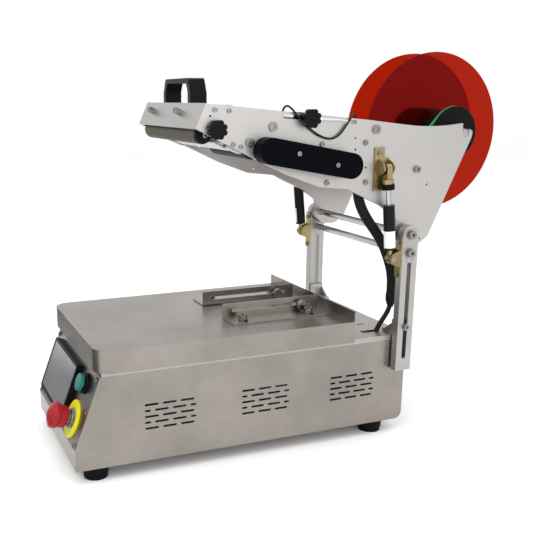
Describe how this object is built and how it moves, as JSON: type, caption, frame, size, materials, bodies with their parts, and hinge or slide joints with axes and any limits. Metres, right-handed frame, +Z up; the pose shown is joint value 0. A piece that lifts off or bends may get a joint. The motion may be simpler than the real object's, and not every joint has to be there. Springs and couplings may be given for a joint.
{
  "type": "tabletop labelling machine",
  "caption": "Table-top flat labeller: stainless base with a work platen and two product guides, slotted posts, and a sprung hinged head carrying a label reel, feed rollers and a drive.",
  "frame": {"origin": "on the supporting surface, below the middle of the whole machine's box", "axes": "+Z up, +Y from the operator towards the rear along the base, +X to the operator's right"},
  "size_m": [0.3208, 0.8056, 0.618],
  "materials": {
    "stainless": "brushed",
    "lid_plate": "satin",
    "pale_aluminium": "satin",
    "head_plate": "satin anodised",
    "foot_rubber": "matt",
    "bezel_plastic": "satin",
    "screen": "gloss",
    "yellow_plastic": "semi-gloss",
    "red_plastic": "semi-gloss",
    "black_plastic": "matt",
    "handle_plastic": "satin",
    "knob_plastic": "satin",
    "cover_paint": "satin",
    "green_plastic": "semi-gloss",
    "zinc_sheet": "dull",
    "screw_steel": "satin",
    "yellow_zinc": "yellow passivated",
    "bright_rod": "polished",
    "spring_paint": "satin",
    "blade_steel": "satin",
    "olive_rubber": "matt",
    "drive_rubber": "matt",
    "roller_metal": "satin",
    "pulley_metal": "satin",
    "belt_rubber": "matt",
    "motor_paint": "satin",
    "disc_acrylic": "gloss, translucent",
    "green_cord": "satin",
    "sleeve_braid": "matt",
    "lead_jacket": "matt",
    "wire_jacket": "satin"
  },
  "bodies": {
    "base": {"base_shell": "stainless", "side_panels": "stainless", "rear_panel": "stainless", "top_plate": "lid_plate", "platen": "stainless", "rubber_feet": "foot_rubber", "touch_screen": "bezel_plastic", "screen_glass": "screen", "estop_collar": "yellow_plastic", "start_collar": "black_plastic", "power_inlet": "black_plastic", "inner_modules": "zinc_sheet", "post_brackets": "pale_aluminium", "base_screws": "screw_steel", "harness_lead": "lead_jacket"},
    "mast": {"post_near": "pale_aluminium", "post_far": "pale_aluminium", "cross_rods": "bright_rod", "post_bolts": "screw_steel", "lower_spring_brackets": "yellow_zinc", "harness_sleeve": "sleeve_braid"},
    "head": {"arm_plate_near": "head_plate", "arm_plate_far": "head_plate", "front_plate": "head_plate", "handle": "handle_plastic", "cross_bars": "bright_rod", "head_screws": "screw_steel", "upper_spring_brackets": "yellow_zinc", "peel_plate": "blade_steel", "stepper_motor": "motor_paint", "timing_belt": "belt_rubber", "belt_cover": "cover_paint", "reel_axle": "bright_rod", "brake_belt": "green_cord", "sensor_cable": "wire_jacket"},
    "spring_tube_near": {"gas_tube_near": "spring_paint"},
    "spring_tube_far": {"gas_tube_far": "spring_paint"},
    "spring_rod_near": {"gas_rod_near": "bright_rod"},
    "spring_rod_far": {"gas_rod_far": "bright_rod"},
    "reel": {"reel_discs": "disc_acrylic", "reel_hub": "black_plastic", "reel_pulley": "black_plastic"},
    "brake_wheel": {"brake_pulley": "black_plastic"},
    "drive": {"drive_roller": "drive_rubber", "driven_pulley": "pulley_metal"},
    "motor_wheel": {"motor_pulley": "pulley_metal"},
    "pinch": {"pinch_roller": "roller_metal"},
    "applicator": {"application_roller": "olive_rubber"},
    "front_idler": {"idler_front": "roller_metal"},
    "rear_idler": {"idler_rear": "roller_metal"},
    "emergency_button": {"estop_button": "red_plastic"},
    "start_key": {"start_button": "green_plastic"},
    "rocker": {"rocker_switch": "black_plastic"},
    "guide_near": {"near_guide": "stainless"},
    "guide_far": {"far_guide": "stainless"},
    "knob_near": {"near_rail_knob": "screw_steel"},
    "knob_far": {"far_rail_knob": "screw_steel"},
    "front_hand_knob": {"front_knob": "knob_plastic"},
    "sensor_carriage": {"label_sensor": "knob_plastic"},
    "sensor_hand_knob": {"sensor_knob": "knob_plastic"}
  },
  "joints": [
    {"name": "mast_height", "type": "slide", "parent": "base", "child": "mast", "axis": [0, 0, 1], "range_m": [-0.07, 0.04], "deforming": ["harness_lead"]},
    {"name": "head_tilt", "type": "hinge", "parent": "mast", "child": "head", "pos_m": [0, 0.1693, 0.3388], "axis": [1, 0, 0], "range_deg": [0, 26], "stiffness_Nm_per_rad": 6, "springref_deg": -85.94, "deforming": ["harness_sleeve"]},
    {"name": "spring_near_swing", "type": "hinge", "parent": "mast", "child": "spring_tube_near", "pos_m": [0.1467, 0.1382, 0.3017], "axis": [1, 0, 0], "range_deg": [0, 20.6]},
    {"name": "spring_near_stroke", "type": "slide", "parent": "spring_tube_near", "child": "spring_rod_near", "axis": [0, -0.1006, 0.9949], "range_m": [-0.0178, 0]},
    {"name": "spring_far_swing", "type": "hinge", "parent": "mast", "child": "spring_tube_far", "pos_m": [-0.1467, 0.1382, 0.3017], "axis": [1, 0, 0], "range_deg": [0, 20.6]},
    {"name": "spring_far_stroke", "type": "slide", "parent": "spring_tube_far", "child": "spring_rod_far", "axis": [0, -0.1006, 0.9949], "range_m": [-0.0178, 0]},
    {"name": "reel_spin", "type": "hinge", "parent": "head", "child": "reel", "pos_m": [0, 0.2758, 0.491], "axis": [1, 0, 0], "continuous": true},
    {"name": "brake_spin", "type": "hinge", "parent": "head", "child": "brake_wheel", "pos_m": [0.1, 0.1874, 0.4377], "axis": [1, 0, 0], "continuous": true},
    {"name": "drive_spin", "type": "hinge", "parent": "head", "child": "drive", "pos_m": [0, -0.0757, 0.474], "axis": [1, 0, 0], "continuous": true},
    {"name": "motor_spin", "type": "hinge", "parent": "head", "child": "motor_wheel", "pos_m": [0.14, 0.0548, 0.449], "axis": [1, 0, 0], "continuous": true},
    {"name": "pinch_spin", "type": "hinge", "parent": "head", "child": "pinch", "pos_m": [0, -0.1002, 0.4855], "axis": [1, 0, 0], "continuous": true},
    {"name": "applicator_spin", "type": "hinge", "parent": "head", "child": "applicator", "pos_m": [0, -0.1652, 0.497], "axis": [1, 0, 0], "continuous": true},
    {"name": "front_idler_spin", "type": "hinge", "parent": "head", "child": "front_idler", "pos_m": [0, -0.0637, 0.507], "axis": [1, 0, 0], "continuous": true},
    {"name": "rear_idler_spin", "type": "hinge", "parent": "head", "child": "rear_idler", "pos_m": [0, 0.1098, 0.5], "axis": [1, 0, 0], "continuous": true},
    {"name": "emergency_press", "type": "slide", "parent": "base", "child": "emergency_button", "axis": [0, 0.934, -0.3573], "range_m": [0, 0.004]},
    {"name": "start_press", "type": "slide", "parent": "base", "child": "start_key", "axis": [0, 0.934, -0.3573], "range_m": [0, 0.0025], "stiffness_N_per_m": 600, "springref_m": -0.0015},
    {"name": "rocker_tip", "type": "hinge", "parent": "base", "child": "rocker", "pos_m": [-0.06, 0.1848, 0.0945], "axis": [1, 0, 0], "range_deg": [0, 16]},
    {"name": "near_guide_slide", "type": "slide", "parent": "base", "child": "guide_near", "axis": [1, 0, 0], "range_m": [-0.014, 0.003]},
    {"name": "far_guide_slide", "type": "slide", "parent": "base", "child": "guide_far", "axis": [1, 0, 0], "range_m": [-0.014, 0.014]},
    {"name": "near_knob_turn", "type": "hinge", "parent": "guide_near", "child": "knob_near", "pos_m": [0.052, 0.0298, 0.2172], "axis": [1, 0, 0], "continuous": true},
    {"name": "far_knob_turn", "type": "hinge", "parent": "guide_far", "child": "knob_far", "pos_m": [-0.035, 0.0298, 0.2172], "axis": [1, 0, 0], "continuous": true},
    {"name": "front_knob_turn", "type": "hinge", "parent": "head", "child": "front_hand_knob", "pos_m": [0.1326, -0.1527, 0.5045], "axis": [1, 0, 0], "continuous": true},
    {"name": "sensor_slide", "type": "slide", "parent": "head", "child": "sensor_carriage", "axis": [0, 0.9965, -0.0837], "range_m": [0, 0.055]},
    {"name": "sensor_knob_turn", "type": "hinge", "parent": "sensor_carriage", "child": "sensor_hand_knob", "pos_m": [0.1326, -0.008, 0.51783], "axis": [1, 0, 0], "continuous": true}
  ],
  "couplings": [
    {"joint": "spring_near_swing", "follows": "head_tilt", "ratio": 0.79},
    {"joint": "spring_far_swing", "follows": "head_tilt", "ratio": 0.79},
    {"joint": "spring_near_stroke", "follows": "head_tilt", "m_per_rad": -0.039},
    {"joint": "spring_far_stroke", "follows": "head_tilt", "m_per_rad": -0.039},
    {"joint": "brake_spin", "follows": "reel_spin", "ratio": 3.25},
    {"joint": "motor_spin", "follows": "drive_spin", "ratio": 1.4444},
    {"joint": "pinch_spin", "follows": "drive_spin", "ratio": -1.4953}
  ]
}
